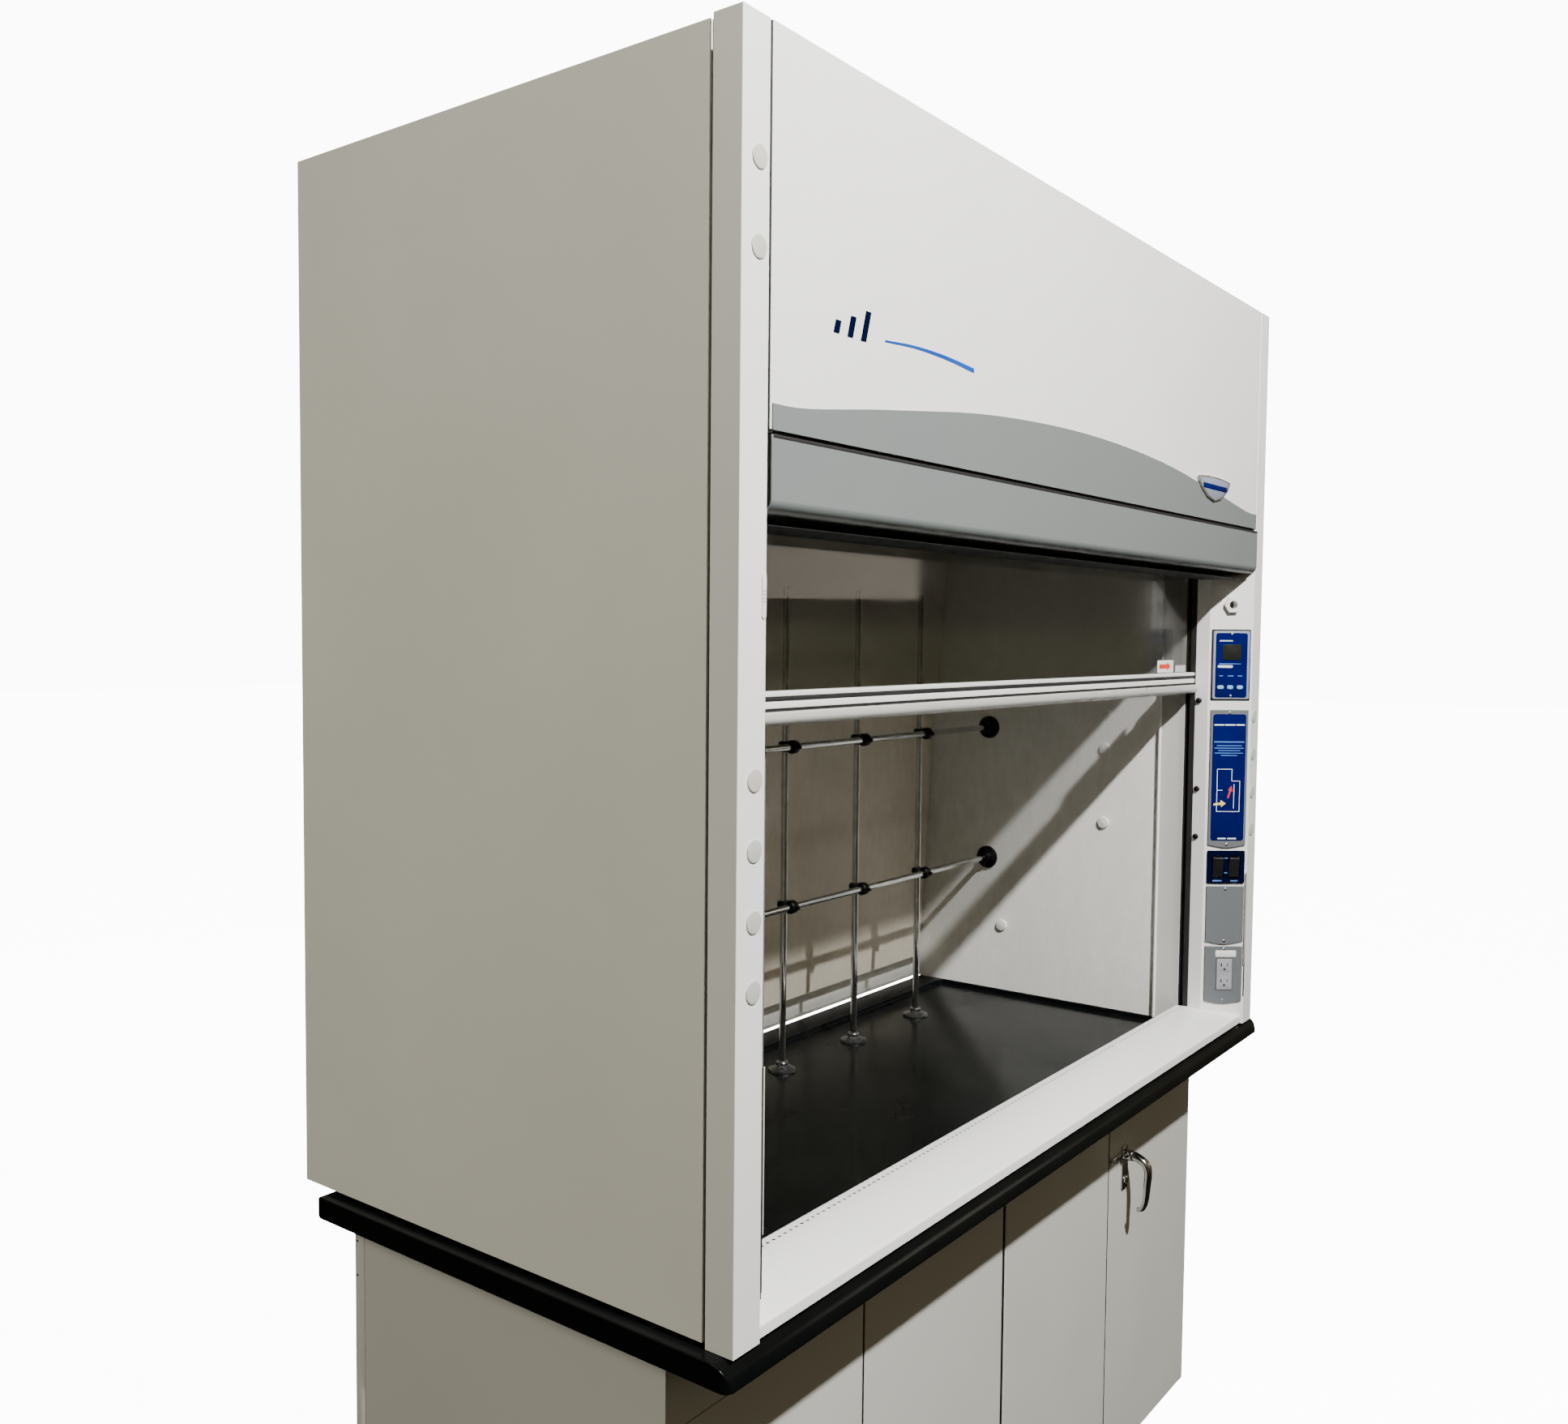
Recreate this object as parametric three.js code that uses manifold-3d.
// A 72 in bench fume hood with a counterweighted vertical sash, on two base cabinets.
// Millimetres, +Z up, the front faces -Y. All pieces are drawn in the hood's own frame:
// x runs right from the left outer side, y runs back from the front of the corner posts,
// z runs up from the top of the work surface. The last group moves that frame to the
// part's origin, which is on the floor under the middle of the bounding box.

import * as THREE from 'three';
import { mergeVertices } from 'three/addons/utils/BufferGeometryUtils.js';
import Module from 'manifold-3d';

const wasm = await Module();
wasm.setup();

// ---------- driving dimensions ----------

const HOOD_WIDTH = 1829;
const HOOD_DEPTH = 805;
const HOOD_HEIGHT = 1499;
const BENCH_HEIGHT = 933.5;
const MIDDLE = HOOD_WIDTH / 2;

const SHEET = 2;
const GAP = 0.3;

const TOP_FRONT = -8;
const TOP_BACK = 757;
const TOP_OVERHANG = 19.5;
const TOP_THICKNESS = 31.75;
const TOP_REAR_RADIUS = 12;
const DISH = { x: 126, front: 62, back: 689, depth: 9.5 };

const POST_FACE = 50.3;
const THROAT_X = 108.5;
const THROAT_Y = 72;
const POST_BACK = 99;
const PANEL_START = 45.5;

const TRACK = { x: 91, front: 108.5, back: 119.5, wall: 1.5, top: 1428 };
const LINER_X = 122.8;
const LINER_BACK = 752;
const LINER_SHEET = 3;
const REAR_WALL = 772;
const CEILING = 1219;

const SASH_BOTTOM = 706.7;
const SASH_TOP = 1435;
const GLASS = { x: 101, front: 110.3, back: 116.3, bottom: 722.3 };
const UPPER_GLASS = { front: 126, back: 131, bottom: 738, top: 1224 };

const CABLE_X = 96.5;
const CABLE_RADIUS = 1.5;
const FRONT_CABLE_Y = 113;
const REAR_CABLE_Y = 715;
const PULLEY = { z: 1455, pitch: 22, rim: 25, width: 9, groove: 3.6 };
const WEIGHT = { width: 44, depth: 80, height: 400, bottom: 30 };

const COLLAR = { y: 590, radius: 152.4, wall: 2, flange: 178, top: 1495 };
const LAMP = { half: 560, front: 185, back: 325, height: 72 };

const ARCH_BOTTOM = 1050;
const FACE = { left: 55, bottom: 1051 };
const ARCH_LEFT = 58;
const VISOR = { top: 1045, flat: 973, roll: 16, bottom: 946, back: 95, left: 54 };

const ROD = { y: 590, radius: 6.35, top: 912, flange: 20.5, pitch: 250 };
const ROD_X = [-2, -1, 0, 1, 2].map((i) => MIDDLE + i * ROD.pitch);
const BAR = { y: 572, lower: 308, upper: 612, clamp: 13 };

const CABINET = {
  left: 22, front: 119, back: 718, wall: 3, fold: 20, toe: 105, toeDepth: 75, pad: 70,
};
const DOOR = { thickness: 24, corner: 8, seam: 3, skin: 2, stile: 20, top: -146, bottom: -827 };
const RAIL_BOTTOM = -143;
const SHELF_Z = -466;
const HINGE_PIN = 3;
const HINGE_BORE = 3.4;

const LATCH = { x: 1436, z: -212, spindle: 6, reach: 49, drop: 110 };

const SWITCH = { z: 337, spacing: 34, width: 22, height: 42 };

// ---------- solids ----------

function toSolid(geometry) {
  const bare = geometry.clone();
  bare.deleteAttribute('normal');
  bare.deleteAttribute('uv');
  const merged = mergeVertices(bare, 1e-4);
  return new wasm.Manifold(new wasm.Mesh({
    numProp: 3,
    vertProperties: new Float32Array(merged.attributes.position.array),
    triVerts: new Uint32Array(merged.index.array),
  }));
}

function toGeometry(solid) {
  const mesh = solid.getMesh();
  const geometry = new THREE.BufferGeometry();
  geometry.setAttribute('position', new THREE.BufferAttribute(mesh.vertProperties, 3));
  geometry.setIndex(new THREE.BufferAttribute(mesh.triVerts, 1));
  geometry.computeVertexNormals();
  return geometry;
}

function join(...solids) {
  return solids.reduce((sum, solid) => sum.add(solid));
}

function box(x0, x1, y0, y1, z0, z1) {
  const geometry = new THREE.BoxGeometry(x1 - x0, y1 - y0, z1 - z0);
  geometry.translate((x0 + x1) / 2, (y0 + y1) / 2, (z0 + z1) / 2);
  return toSolid(geometry);
}

// An outline swept in a straight line. The basis maps the outline's two axes and the sweep.
function prism(outline, length, basis, origin) {
  const shape = new THREE.Shape(outline.map(([u, v]) => new THREE.Vector2(u, v)));
  const geometry = new THREE.ExtrudeGeometry(shape, { depth: length, bevelEnabled: false });
  const matrix = new THREE.Matrix4().makeBasis(...basis);
  matrix.setPosition(origin);
  geometry.applyMatrix4(matrix);
  return toSolid(geometry);
}

const X = new THREE.Vector3(1, 0, 0);
const Y = new THREE.Vector3(0, 1, 0);
const Z = new THREE.Vector3(0, 0, 1);

// Outline in (y, z), swept along x.
function prismX(outline, x0, x1) {
  return prism(outline, x1 - x0, [Y, Z, X], new THREE.Vector3(x0, 0, 0));
}

// Outline in (x, z), swept along y.
function prismY(outline, y0, y1) {
  return prism(outline, y1 - y0, [X, Z, Y.clone().negate()], new THREE.Vector3(0, y1, 0));
}

// Outline in (x, y), swept along z.
function prismZ(outline, z0, z1) {
  return prism(outline, z1 - z0, [X, Y, Z], new THREE.Vector3(0, 0, z0));
}

// A straight round bar that starts at a point and runs along an axis.
function bar(start, axis, length, radius, sides = 20) {
  const geometry = new THREE.CylinderGeometry(radius, radius, length, sides);
  geometry.translate(0, length / 2, 0);
  geometry.applyQuaternion(new THREE.Quaternion().setFromUnitVectors(Y, axis));
  geometry.translate(...start);
  return toSolid(geometry);
}

// A closed profile in (radius, height) turned about an axis through a point.
function turned(profile, centre, axis, sides = 32) {
  const points = [...profile, profile[0]].map(([r, h]) => new THREE.Vector2(r, h));
  const geometry = new THREE.LatheGeometry(points, sides);
  geometry.applyQuaternion(new THREE.Quaternion().setFromUnitVectors(Y, axis));
  geometry.translate(...centre);
  return toSolid(geometry);
}

// The part turned over to the hood's right side.
function mirrored(solid) {
  const geometry = toGeometry(solid);
  const position = geometry.attributes.position;
  for (let i = 0; i < position.count; i += 1) {
    position.setX(i, HOOD_WIDTH - position.getX(i));
  }
  const index = geometry.index;
  for (let i = 0; i < index.count; i += 3) {
    const second = index.getX(i + 1);
    index.setX(i + 1, index.getX(i + 2));
    index.setX(i + 2, second);
  }
  return toSolid(geometry);
}

// ---------- outlines ----------

// The outline of a bent sheet. The fold line is one face, the thickness lies to its left.
function folded(line, thickness) {
  const points = line.map(([u, v]) => new THREE.Vector2(u, v));
  const normals = points.slice(1).map((point, i) => {
    const along = point.clone().sub(points[i]).normalize();
    return new THREE.Vector2(-along.y, along.x);
  });
  const inner = points.map((point, i) => {
    const before = normals[Math.max(i - 1, 0)];
    const after = normals[Math.min(i, normals.length - 1)];
    const miter = before.clone().add(after).normalize();
    return point.clone().addScaledVector(miter, thickness / miter.dot(before));
  });
  return [...points, ...inner.reverse()].map((point) => [point.x, point.y]);
}

function arc(u, v, radius, fromDegrees, toDegrees, steps = 6) {
  const points = [];
  for (let i = 0; i <= steps; i += 1) {
    const angle = THREE.MathUtils.degToRad(fromDegrees + ((toDegrees - fromDegrees) * i) / steps);
    points.push([u + radius * Math.cos(angle), v + radius * Math.sin(angle)]);
  }
  return points;
}

function roundedRectangle(u0, u1, v0, v1, radius, steps = 4) {
  return [
    ...arc(u1 - radius, v1 - radius, radius, 0, 90, steps),
    ...arc(u0 + radius, v1 - radius, radius, 90, 180, steps),
    ...arc(u0 + radius, v0 + radius, radius, 180, 270, steps),
    ...arc(u1 - radius, v0 + radius, radius, 270, 360, steps),
  ];
}

// The plan of what fits between the two angled fascias, no nearer the side than `left`.
function throatPlan(left, clearance) {
  const slope = (THROAT_X - POST_FACE) / THROAT_Y;
  const start = (left - clearance - POST_FACE) / slope;
  const half = [
    [left, -20],
    [left, Math.max(start, -19)],
    [THROAT_X + clearance, THROAT_Y],
    [THROAT_X + clearance, 200],
  ];
  return [...half, ...half.map(([x, y]) => [HOOD_WIDTH - x, y]).reverse()];
}

// ---------- the angled fascias that carry the controls ----------

// In a fascia's own frame x runs across it, y runs into it and z is the hood's z.
function fasciaGroup(side) {
  const group = new THREE.Group();
  const angle = Math.atan2(THROAT_Y, THROAT_X - POST_FACE);
  const x = (POST_FACE + THROAT_X) / 2;
  group.position.set(side === 'left' ? x : HOOD_WIDTH - x, THROAT_Y / 2, 0);
  group.rotation.z = side === 'left' ? angle : -angle;
  group.updateMatrix();
  return group;
}

const fascia = { left: fasciaGroup('left'), right: fasciaGroup('right') };

function inFascia(side, solid) {
  const geometry = toGeometry(solid);
  geometry.applyMatrix4(fascia[side].matrix);
  return toSolid(geometry);
}

const PLATE = { half: 40, thickness: 3, sag: 6 };

// A thin cover plate that stands on the fascia, with a bowed lower edge.
function coverPlate(z0, z1) {
  const bow = new THREE.SplineCurve([
    new THREE.Vector2(-PLATE.half, z0 + PLATE.sag),
    new THREE.Vector2(0, z0),
    new THREE.Vector2(PLATE.half, z0 + PLATE.sag),
  ]);
  const lower = bow.getPoints(10).map((point) => [point.x, point.y]);
  const outline = [...lower, [PLATE.half, z1], [-PLATE.half, z1]];
  return prismY(outline, -PLATE.thickness - GAP, -GAP);
}

const MONITOR = {
  bottom: 692, top: 839, bodyHalf: 36, depth: 34, keyZ: 719, screen: [-19, 20, 775.6, 809],
};
const KEYS = [
  { name: 'monitor_key_mute', x: -22, half: 7 },
  { name: 'monitor_key_up', x: -1.5, half: 6.5 },
  { name: 'monitor_key_down', x: 19, half: 6.5 },
];
const KEY_HALF_HEIGHT = 4;
const KEY_CORNER = 3.8;
const KEY_POCKET = 1.9;
const BUSHING = { z: 892, flats: 15.5, proud: 8, shank: 12, bore: 8.5, depth: 14 };

function keyOutline({ x, half }, clearance) {
  const height = KEY_HALF_HEIGHT + clearance;
  const width = half + clearance;
  return roundedRectangle(x - width, x + width, MONITOR.keyZ - height, MONITOR.keyZ + height,
    KEY_CORNER + clearance);
}

function monitorModule() {
  const { bottom, top, bodyHalf, depth } = MONITOR;
  const face = prismY(roundedRectangle(-PLATE.half, PLATE.half, bottom, top, 4), -4, -GAP);
  const body = box(-bodyHalf, bodyHalf, -1, depth, bottom + 4, top - 4);
  const pockets = KEYS.map((key) => prismY(keyOutline(key, 0.4), -5, -4 + KEY_POCKET));
  const [left, right, low, high] = MONITOR.screen;
  const screen = box(left, right, -5, -3, low, high);
  return join(face, body).subtract(join(screen, ...pockets));
}

function monitorKey(key) {
  return prismY(keyOutline(key, 0), -5.2, -4 + KEY_POCKET - 0.9);
}

function hexBushing() {
  const { z, flats, proud, shank, bore, depth } = BUSHING;
  const corner = flats / Math.cos(Math.PI / 6);
  const hexagon = arc(0, z, corner, 0, 300, 5);
  const head = prismY(hexagon, -proud, -GAP);
  const tube = bar([0, -1, z], Y, depth, shank);
  return join(head, tube).subtract(bar([0, -proud - 1, z], Y, depth + proud + 2, bore));
}

function switchPlate() {
  const plate = prismY(roundedRectangle(-PLATE.half, PLATE.half, 302, 372, 3),
    -PLATE.thickness - GAP, -GAP);
  const windows = [-1, 1].map((side) => box(
    (side * SWITCH.spacing) / 2 - SWITCH.width / 2 - 1.5,
    (side * SWITCH.spacing) / 2 + SWITCH.width / 2 + 1.5,
    -5, 1, SWITCH.z - SWITCH.height / 2 - 3.5, SWITCH.z + SWITCH.height / 2 + 3.5));
  return plate.subtract(join(...windows));
}

// A rocker leans half of its throw at rest. It turns about x at its own middle.
function rocker(side) {
  const lean = THREE.MathUtils.degToRad(7);
  const geometry = new THREE.BoxGeometry(SWITCH.width, 14, SWITCH.height);
  geometry.rotateX(lean);
  geometry.translate((side * SWITCH.spacing) / 2, 1, SWITCH.z);
  return toSolid(geometry);
}

// ---------- casing ----------

function cornerPost(side) {
  const line = [
    [0, 41.5], [0, 0], [POST_FACE, 0], [THROAT_X, THROAT_Y], [THROAT_X, POST_BACK],
  ];
  const left = prismZ(folded(line, SHEET), 0, HOOD_HEIGHT);
  if (side === 'left') {
    return left;
  }
  const cuts = join(
    box(-MONITOR.bodyHalf - 2, MONITOR.bodyHalf + 2, -10, 10, MONITOR.bottom + 2, MONITOR.top - 2),
    box(-32, 32, -10, 10, SWITCH.z - 28, SWITCH.z + 28),
    bar([0, -10, BUSHING.z], Y, 20, BUSHING.shank + 0.6),
  );
  return mirrored(left).subtract(inFascia('right', cuts));
}

function sidePanel() {
  const z0 = 6;
  const z1 = HOOD_HEIGHT - 5;
  const skin = box(0, 20, PANEL_START, HOOD_DEPTH, z0, z1);
  const hollow = box(SHEET, 21, PANEL_START + SHEET, HOOD_DEPTH - SHEET, z0 + SHEET, z1 - SHEET);
  const pulleyY = REAR_CABLE_Y - PULLEY.pitch;
  const bracket = box(1, 85, pulleyY - 11, pulleyY + 11, PULLEY.z - 14, PULLEY.z + 14);
  const axle = bar([84, pulleyY, PULLEY.z], X, 21, 5);
  return join(skin.subtract(hollow), bracket, axle);
}

function backPanel() {
  const x0 = 20 + GAP;
  const skin = box(x0, HOOD_WIDTH - x0, 802, 804, 6, HOOD_HEIGHT - 5);
  const lower = box(x0, HOOD_WIDTH - x0, 786, 802.5, 6, 8);
  const upper = box(x0, HOOD_WIDTH - x0, 786, 802.5, HOOD_HEIGHT - 7, HOOD_HEIGHT - 5);
  return join(skin, lower, upper);
}

function frontPanel() {
  const right = HOOD_WIDTH - FACE.left;
  const skin = box(FACE.left, right, 0, SHEET, FACE.bottom, HOOD_HEIGHT);
  const inset = FACE.left + 22;
  const returns = [FACE.bottom, HOOD_HEIGHT - SHEET].map((z) => box(
    inset, HOOD_WIDTH - inset, 1, 20, z, z + SHEET));
  return join(skin, ...returns);
}

function headerArch() {
  const half = [[ARCH_LEFT, 1080], [130, 1083], [315, 1106], [597, 1135], [MIDDLE, 1146]];
  const points = [...half, ...half.slice(0, -1).reverse().map(([x, z]) => [HOOD_WIDTH - x, z])];
  const curve = new THREE.SplineCurve(points.map(([x, z]) => new THREE.Vector2(x, z)));
  const upper = curve.getPoints(40).map((point) => [point.x, point.y]);
  const outline = [...upper, [HOOD_WIDTH - ARCH_LEFT, ARCH_BOTTOM], [ARCH_LEFT, ARCH_BOTTOM]];
  return prismY(outline, -SHEET, -GAP);
}

function headerVisor() {
  const line = [
    [-4, VISOR.top],
    ...arc(-4 + VISOR.roll, VISOR.flat, VISOR.roll, 180, 262, 8),
    [VISOR.back, VISOR.bottom],
    [VISOR.back, VISOR.bottom + 18],
  ];
  const sheet = prismX(folded(line, SHEET), 0, HOOD_WIDTH);
  return sheet.intersect(prismZ(throatPlan(VISOR.left, 0.8), 900, 1100));
}

function airfoil() {
  const line = [
    [128, 12], [128, 30], [107, 32], [72, 31], [38, 24.5], [8, 5.5], [3, 3],
  ];
  const skin = prismX(folded(line, SHEET), 0, HOOD_WIDTH);
  const foot = [[46, GAP], [122, GAP], [122, 29.5], [107, 31], [72, 30], [46, 25]];
  const feet = [130, 652, HOOD_WIDTH - 656, HOOD_WIDTH - 134].map((x) => prismX(foot, x, x + 4));
  const plan = prismZ(throatPlan(52, 0.8), -10, 60);
  return join(skin, ...feet).intersect(plan);
}

// ---------- work chamber ----------

function workSurface() {
  const nose = arc(20, -28, 28, 90, 180, 6);
  const rearCentre = TOP_BACK - TOP_REAR_RADIUS;
  const profile = [
    ...arc(rearCentre, TOP_REAR_RADIUS - TOP_THICKNESS, TOP_REAR_RADIUS, -90, 0, 3),
    ...arc(rearCentre, -TOP_REAR_RADIUS, TOP_REAR_RADIUS, 0, 90, 3),
    ...nose, [TOP_FRONT, -TOP_THICKNESS],
  ];
  const right = HOOD_WIDTH + TOP_OVERHANG;
  const plan = roundedRectangle(-TOP_OVERHANG, right, TOP_FRONT, TOP_BACK, 12, 4);
  const slab = prismX(profile, -TOP_OVERHANG, right);
  const dish = prismZ(
    roundedRectangle(DISH.x, HOOD_WIDTH - DISH.x, DISH.front, DISH.back, 10, 3), -DISH.depth, 5);
  return slab.intersect(prismZ(plan, -TOP_THICKNESS - 1, 5)).subtract(dish);
}

// The U channel that guides the sash, with the strip beside it and the shaft's hanger on top.
function sashTrack() {
  const { x, front, back, wall, top } = TRACK;
  const edge = THROAT_X;
  const channel = [
    [edge, POST_BACK + GAP], [edge, front + wall], [x + wall, front + wall],
    [x + wall, back - wall], [edge, back - wall], [edge, back], [x, back],
    [x, front], [edge - SHEET, front], [edge - SHEET, POST_BACK + GAP],
  ];
  const hanger = box(edge - 3, edge, back - wall, 152, top - 30, PULLEY.z + 20);
  const body = join(prismZ(channel, 2, top), hanger);
  return body.subtract(bar([edge - 5, FRONT_CABLE_Y + PULLEY.pitch, PULLEY.z], X, 8, 6.6));
}

function sideLiner() {
  const line = [
    [THROAT_X, TRACK.back + 0.8], [THROAT_X, 138], [LINER_X, 166], [LINER_X, LINER_BACK],
  ];
  return prismZ(folded(line, LINER_SHEET), GAP, CEILING + 6);
}

function rearLiner() {
  const x = LINER_X - LINER_SHEET;
  const wall = box(x, HOOD_WIDTH - x, REAR_WALL, REAR_WALL + 4, GAP, CEILING + 6);
  const returns = [x, HOOD_WIDTH - LINER_X].map((left) => box(
    left, left + LINER_SHEET, LINER_BACK + GAP, REAR_WALL + 1, GAP, CEILING + 6));
  const ledge = box(x, HOOD_WIDTH - x, TOP_BACK + GAP, REAR_WALL + 1, GAP, SHEET);
  return join(wall, ...returns, ledge);
}

function ceilingLiner() {
  const x = LINER_X + GAP;
  const sheet = box(x, HOOD_WIDTH - x, 168, REAR_WALL - GAP, CEILING, CEILING + 3);
  const duct = bar([MIDDLE, COLLAR.y, CEILING - 5], Z, 15, COLLAR.radius - COLLAR.wall, 48);
  const lamp = box(MIDDLE - LAMP.half + 15, MIDDLE + LAMP.half - 15,
    LAMP.front + 15, LAMP.back - 15, CEILING - 5, CEILING + 10);
  return sheet.subtract(join(duct, lamp));
}

function lowerBaffle() {
  const line = [[680, 1023], [716, 635], [748, 50]];
  return prismX(folded(line, 5), LINER_X + 3, HOOD_WIDTH - LINER_X - 3);
}

function upperBaffle() {
  const line = [[450, 1197], [676, 1040]];
  return prismX(folded(line, 5), LINER_X + 3, HOOD_WIDTH - LINER_X - 3);
}

function exhaustCollar() {
  const z = CEILING + 3 + GAP;
  const { radius, wall, flange, top } = COLLAR;
  const profile = [
    [radius - wall, 0], [flange, 0], [flange, 3], [radius, 3], [radius, top - z],
    [radius - wall, top - z],
  ];
  return turned(profile, [MIDDLE, COLLAR.y, z], Z, 48);
}

function lightFixture() {
  const z = CEILING + 3 + GAP;
  const outer = box(MIDDLE - LAMP.half, MIDDLE + LAMP.half, LAMP.front, LAMP.back, z,
    z + LAMP.height);
  const inner = box(MIDDLE - LAMP.half + 4, MIDDLE + LAMP.half - 4, LAMP.front + 4,
    LAMP.back - 4, z - 1, z + LAMP.height - 4);
  return outer.subtract(inner);
}

// ---------- lattice of rods for holding apparatus ----------

function latticeRod(x) {
  const floor = -DISH.depth + GAP;
  const rod = bar([x, ROD.y, floor], Z, ROD.top - floor, ROD.radius);
  return join(rod, bar([x, ROD.y, floor], Z, 8, ROD.flange, 24));
}

function latticeBar(z) {
  const start = LINER_X + GAP;
  const length = HOOD_WIDTH - 2 * start;
  const rail = bar([start, BAR.y, z], X, length, ROD.radius);
  const ends = [start, HOOD_WIDTH - start - 9].map((x) => bar([x, BAR.y, z], X, 9, 19, 24));
  const clamps = ROD_X.map((x) => box(x - BAR.clamp, x + BAR.clamp, BAR.y - 11, ROD.y + 11,
    z - BAR.clamp, z + BAR.clamp));
  const bores = ROD_X.map((x) => bar([x, ROD.y, z - 20], Z, 40, ROD.radius + 0.4));
  return join(rail, ...ends, ...clamps).subtract(join(...bores));
}

// ---------- sash, cables and counterweights ----------

function sashGlass() {
  return box(GLASS.x, HOOD_WIDTH - GLASS.x, GLASS.front, GLASS.back, GLASS.bottom, SASH_TOP);
}

// The pull with its rounded lip, the groove, the gasket step and the slot for the glass.
function sashRail() {
  const z = SASH_BOTTOM;
  const profile = [
    [120, z], ...arc(96, z + 3, 3, 270, 180, 3), ...arc(96, z + 8, 3, 180, 90, 3),
    [104, z + 11], [104, z + 14.1], [101, z + 14.1], [101, z + 23.3], [103, z + 23.3],
    [103, z + 29.3], [101, z + 29.3], [101, z + 34.6], [GLASS.front - 0.6, z + 34.6],
    [GLASS.front - 0.6, GLASS.bottom - 0.6], [GLASS.back + 0.6, GLASS.bottom - 0.6],
    [GLASS.back + 0.6, z + 34.6], [120, z + 34.6],
  ];
  const x = THROAT_X + 0.7;
  const rail = prismX(profile, x, HOOD_WIDTH - x);
  const ears = [CABLE_X - 3, HOOD_WIDTH - x - 4].map((left) => box(
    left, left + x + 4 - (CABLE_X - 3), FRONT_CABLE_Y - 2.4, FRONT_CABLE_Y + 2.4, z + 2, z + 13));
  return join(rail, ...ears);
}

function upperGlass() {
  const x = THROAT_X + 0.7;
  return box(x, HOOD_WIDTH - x, UPPER_GLASS.front, UPPER_GLASS.back, UPPER_GLASS.bottom,
    UPPER_GLASS.top);
}

// The grooved wheel that carries a cable, as a profile round its axle hole.
function pulleyProfile(hole) {
  const { pitch, rim, width, groove } = PULLEY;
  const root = pitch - CABLE_RADIUS - GAP;
  return [
    [hole, 0], [rim, 0], [rim, (width - groove) / 2 - 0.6], [root, (width - groove) / 2],
    [root, (width + groove) / 2], [rim, (width + groove) / 2 + 0.6], [rim, width], [hole, width],
  ];
}

function rearPulley() {
  const centre = [CABLE_X - PULLEY.width / 2, REAR_CABLE_Y - PULLEY.pitch, PULLEY.z];
  return turned(pulleyProfile(5.4), centre, X);
}

// One shaft with a pulley near each end, so both sides of the sash rise together.
function frontPulleyShaft() {
  const y = FRONT_CABLE_Y + PULLEY.pitch;
  const x = CABLE_X - PULLEY.width / 2;
  const left = turned(pulleyProfile(4), [x, y, PULLEY.z], X);
  const shaft = bar([x - 4, y, PULLEY.z], X, HOOD_WIDTH - 2 * (x - 4), 6);
  return join(shaft, left, mirrored(left));
}

function counterweight() {
  const x0 = CABLE_X - WEIGHT.width / 2;
  const outline = roundedRectangle(x0, x0 + WEIGHT.width, REAR_CABLE_Y - WEIGHT.depth / 2,
    REAR_CABLE_Y + WEIGHT.depth / 2, 5, 2);
  return prismZ(outline, WEIGHT.bottom, WEIGHT.bottom + WEIGHT.height);
}

function frontCable() {
  const z = SASH_BOTTOM + 13 + GAP;
  return bar([CABLE_X, FRONT_CABLE_Y, z], Z, PULLEY.z - z, CABLE_RADIUS, 8);
}

function rearCable() {
  const z = WEIGHT.bottom + WEIGHT.height + GAP;
  return bar([CABLE_X, REAR_CABLE_Y, z], Z, PULLEY.z - z, CABLE_RADIUS, 8);
}

// ---------- cabinets ----------

const cabinetWidth = MIDDLE - CABINET.left - 0.5;
const doorWidth = (cabinetWidth - DOOR.seam) / 2 - 0.5;

// Each door's left edge, and the x of its hinge pin at the outer or middle side.
const DOORS = [
  { name: 'door_left_outer', x: CABINET.left, pinned: 'left' },
  { name: 'door_left_inner', x: MIDDLE - 1.5 - doorWidth, pinned: 'right' },
  { name: 'door_right_inner', x: MIDDLE + 1.5, pinned: 'left' },
  { name: 'door_right_outer', x: HOOD_WIDTH - CABINET.left - doorWidth, pinned: 'right' },
];

function hingeX({ x, pinned }) {
  return pinned === 'left' ? x + DOOR.corner : x + doorWidth - DOOR.corner;
}

const hingeY = CABINET.front + DOOR.corner;

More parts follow.
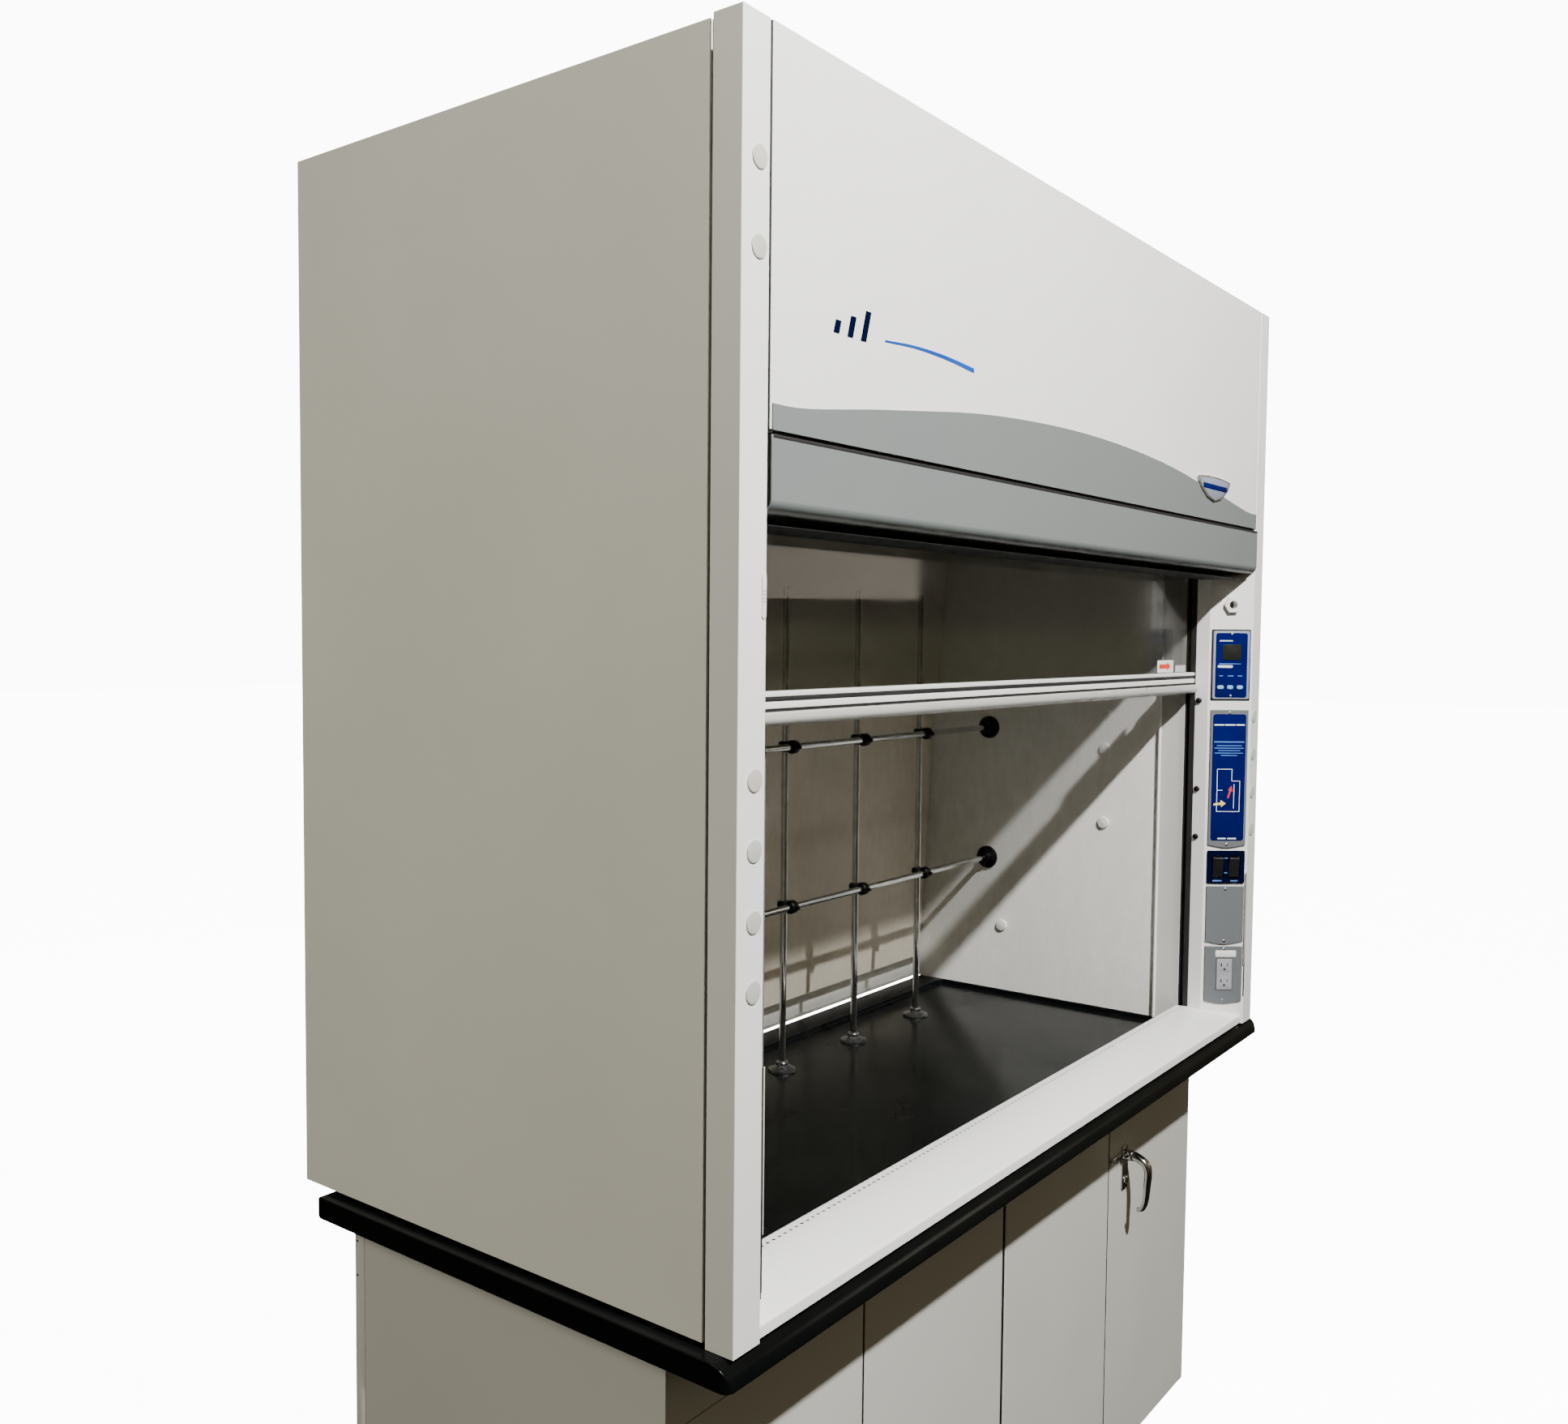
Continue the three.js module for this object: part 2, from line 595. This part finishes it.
function cabinetCarcass(x0, doors) {
  const x1 = x0 + cabinetWidth;
  const face = CABINET.front + DOOR.thickness + 3;
  const top = -TOP_THICKNESS - GAP;
  const base = -BENCH_HEIGHT;
  const floor = base + CABINET.toe;
  const toe = face + CABINET.toeDepth;
  const side = [
    [face, floor], [toe, floor], [toe, base], [CABINET.back, base], [CABINET.back, top],
    [face, top],
  ];
  const sides = [x0, x1 - CABINET.wall].map((x) => prismX(side, x, x + CABINET.wall));
  const folds = [x0, x1 - CABINET.fold].map((x) => box(
    x, x + CABINET.fold, face, face + CABINET.wall, floor, top));
  const topRail = box(x0, x1, CABINET.front, face + 6, RAIL_BOTTOM, top).subtract(
    box(x0 + CABINET.fold, x1 - CABINET.fold, CABINET.front + CABINET.wall, face + 7,
      RAIL_BOTTOM + CABINET.wall, top - CABINET.wall));
  const shell = join(
    ...sides,
    ...folds,
    box(x0 + 1, x1 - 1, face, CABINET.back - 1, floor, floor + CABINET.wall),
    box(x0 + 1, x1 - 1, toe, toe + CABINET.wall, base, floor + 1),
    box(x0 + 1, x1 - 1, CABINET.back - CABINET.wall, CABINET.back, base, top),
    topRail,
    box(x0 + 1, x1 - 1, CABINET.back - 60, CABINET.back - 1, top - 20, top - 17),
    box(x0 + 1, x1 - 1, face + 110, CABINET.back - 1, SHELF_Z - CABINET.wall, SHELF_Z),
    box(x0 + 1, x1 - 1, face + 110, face + 113, SHELF_Z - 20, SHELF_Z - 1),
  );
  const pads = [x0 + 1, x1 - 1 - CABINET.pad].flatMap((x) => [toe + 1, CABINET.back - 1 - CABINET.pad]
    .map((y) => box(x, x + CABINET.pad, y, y + CABINET.pad, base, base + CABINET.wall)));
  const pins = doors.flatMap((door) => {
    const x = hingeX(door);
    return [
      bar([x, hingeY, DOOR.top - 5], Z, RAIL_BOTTOM - DOOR.top + 6, HINGE_PIN, 12),
      box(x - 7, x + 7, hingeY - 5, face + 5, floor - 4, floor - 1),
      box(x - 7, x + 7, face, face + 5, floor - 4, floor + 2),
      bar([x, hingeY, floor - 2], Z, 8, HINGE_PIN, 12),
    ];
  });
  return join(shell, ...pads, ...pins);
}

function doorPanel(door) {
  const { x, pinned } = door;
  const right = x + doorWidth;
  const front = CABINET.front;
  const back = front + DOOR.thickness;
  const radius = DOOR.corner;
  const left = pinned === 'left' ? radius : 3;
  const other = pinned === 'left' ? 3 : radius;
  const outline = [
    ...arc(x + left, front + left, left, 180, 270),
    ...arc(right - other, front + other, other, 270, 360),
    [right, back],
    [x, back],
  ];
  const skin = DOOR.skin;
  const stiles = pinned === 'left' ? [DOOR.stile, skin] : [skin, DOOR.stile];
  const hollow = box(x + stiles[0], right - stiles[1], front + skin, back - skin,
    DOOR.bottom - 1, DOOR.top - skin);
  const panel = prismZ(outline, DOOR.bottom, DOOR.top).subtract(hollow);
  const bores = [DOOR.top - 7, DOOR.bottom - 1].map((z) => bar(
    [hingeX(door), hingeY, z], Z, 8, HINGE_BORE, 12));
  return panel.subtract(join(...bores));
}

function spindleHole(radius) {
  return bar([LATCH.x, CABINET.front - 20, LATCH.z], Y, 60, radius);
}

function latchEscutcheon() {
  const back = CABINET.front - GAP;
  const plate = prismY(roundedRectangle(LATCH.x - 14, LATCH.x + 14, -283, -192, 5), back - 3, back);
  const bolt = box(1365, LATCH.x - 12, back - 7, back, -212, -201);
  const lock = bar([LATCH.x, back - 7, -264], Y, 6, 8.5);
  return join(plate, bolt, lock).subtract(spindleHole(LATCH.spindle + 0.6));
}

// Spindle through the door, hub, a hooked handle in front and the cam behind.
function latchLever() {
  const front = CABINET.front - LATCH.reach;
  const behind = CABINET.front + DOOR.thickness;
  const spindle = bar([LATCH.x, front + 16, LATCH.z], Y, behind + 5 - front - 16, LATCH.spindle);
  const hub = bar([LATCH.x, CABINET.front - 22, LATCH.z], Y, 14, 11);
  const path = new THREE.CatmullRomCurve3([
    new THREE.Vector3(LATCH.x, CABINET.front - 20, LATCH.z + 2),
    new THREE.Vector3(LATCH.x, front + 8, LATCH.z - 8),
    new THREE.Vector3(LATCH.x, front, LATCH.z - 32),
    new THREE.Vector3(LATCH.x, front, LATCH.z - LATCH.drop + 25),
    new THREE.Vector3(LATCH.x, front + 5, LATCH.z - LATCH.drop + 5),
    new THREE.Vector3(LATCH.x, front + 15, LATCH.z - LATCH.drop - 4),
  ]);
  const section = new THREE.Shape();
  section.absellipse(0, 0, 9, 4.5, 0, Math.PI * 2);
  const handle = toSolid(new THREE.ExtrudeGeometry(section, {
    steps: 18, curveSegments: 6, extrudePath: path,
  }));
  const cam = box(LATCH.x - 9, LATCH.x + 9, behind + 1, behind + 5, LATCH.z - 9, LATCH.z + 26);
  return join(spindle, hub, handle, cam);
}

// ---------- materials ----------

const FINISH = {
  white: { color: 0xe1e1df, roughness: 0.45, metalness: 0 },
  greige: { color: 0xc6c4b8, roughness: 0.5, metalness: 0 },
  grey: { color: 0x919896, roughness: 0.5, metalness: 0 },
  cabinet: { color: 0xb4b3aa, roughness: 0.5, metalness: 0 },
  liner: { color: 0xd9dad6, roughness: 0.55, metalness: 0 },
  epoxy: { color: 0x15171a, roughness: 0.25, metalness: 0 },
  black: { color: 0x101112, roughness: 0.6, metalness: 0 },
  glass: { color: 0xc6c9bd, roughness: 0.05, metalness: 0 },
  chrome: { color: 0xc9cbcc, roughness: 0.15, metalness: 1 },
  zinc: { color: 0xa9adb0, roughness: 0.4, metalness: 1 },
  iron: { color: 0x4a4c4e, roughness: 0.7, metalness: 0.6 },
  plate: { color: 0x878c8f, roughness: 0.55, metalness: 0 },
  blue: { color: 0x0f32a0, roughness: 0.45, metalness: 0 },
  keyBlue: { color: 0x7fb2e6, roughness: 0.5, metalness: 0 },
};

// ---------- assembly ----------

const hood = new THREE.Group();
hood.position.set(-MIDDLE, -(TOP_FRONT + HOOD_DEPTH) / 2, BENCH_HEIGHT);

function add(name, solid, finish, parent = hood) {
  const mesh = new THREE.Mesh(toGeometry(solid), new THREE.MeshStandardMaterial(FINISH[finish]));
  mesh.name = name;
  parent.add(mesh);
}

function addPair(name, solid, finish) {
  add(`${name}_left`, solid, finish);
  add(`${name}_right`, mirrored(solid), finish);
}

for (const side of ['left', 'right']) {
  const x0 = side === 'left' ? CABINET.left : MIDDLE + 0.5;
  const doors = DOORS.filter(({ name }) => name.includes(`door_${side}`));
  add(`cabinet_${side}`, cabinetCarcass(x0, doors), 'cabinet');
}
for (const door of DOORS) {
  const panel = doorPanel(door);
  const latched = door.name === 'door_right_outer';
  add(door.name, latched ? panel.subtract(spindleHole(LATCH.spindle + 0.8)) : panel, 'cabinet');
}
add('latch_escutcheon', latchEscutcheon(), 'chrome');
add('latch_lever', latchLever(), 'chrome');
add('work_surface', workSurface(), 'epoxy');

add('corner_post_left', cornerPost('left'), 'white');
add('corner_post_right', cornerPost('right'), 'white');
addPair('side_panel', sidePanel(), 'greige');
add('back_panel', backPanel(), 'greige');
add('front_panel', frontPanel(), 'white');
add('header_arch', headerArch(), 'grey');
add('header_visor', headerVisor(), 'grey');
add('airfoil', airfoil(), 'white');

addPair('sash_track', sashTrack(), 'black');
addPair('side_liner', sideLiner(), 'liner');
add('rear_liner', rearLiner(), 'liner');
add('ceiling_liner', ceilingLiner(), 'liner');
add('lower_baffle', lowerBaffle(), 'liner');
add('upper_baffle', upperBaffle(), 'liner');
add('exhaust_collar', exhaustCollar(), 'zinc');
add('light_fixture', lightFixture(), 'white');

ROD_X.forEach((x, i) => add(`lattice_rod_${i + 1}`, latticeRod(x), 'chrome'));
add('lattice_bar_upper', latticeBar(BAR.upper), 'chrome');
add('lattice_bar_lower', latticeBar(BAR.lower), 'chrome');

add('sash_glass', sashGlass(), 'glass');
add('sash_rail', sashRail(), 'white');
add('upper_glass', upperGlass(), 'glass');
add('front_pulley_shaft', frontPulleyShaft(), 'zinc');
addPair('rear_pulley', rearPulley(), 'zinc');
addPair('counterweight', counterweight(), 'iron');
addPair('front_cable', frontCable(), 'zinc');
addPair('rear_cable', rearCable(), 'zinc');

add('monitor_module', monitorModule(), 'blue', fascia.right);
for (const key of KEYS) {
  add(key.name, monitorKey(key), 'keyBlue', fascia.right);
}
add('hex_bushing', hexBushing(), 'white', fascia.right);
add('info_plaque', coverPlate(377.6, 671), 'plate', fascia.right);
add('switch_plate', switchPlate(), 'blue', fascia.right);
add('light_switch', rocker(-1), 'black', fascia.right);
add('blower_switch', rocker(1), 'black', fascia.right);
add('blank_plate', coverPlate(171, 296), 'plate', fascia.right);
add('receptacle_plate', coverPlate(43, 167), 'plate', fascia.right);
add('service_plate_upper', coverPlate(317, 679), 'plate', fascia.left);
add('service_plate_lower', coverPlate(43, 296), 'plate', fascia.left);
hood.add(fascia.left, fascia.right);

const part = new THREE.Group();
part.add(hood);

export default part;
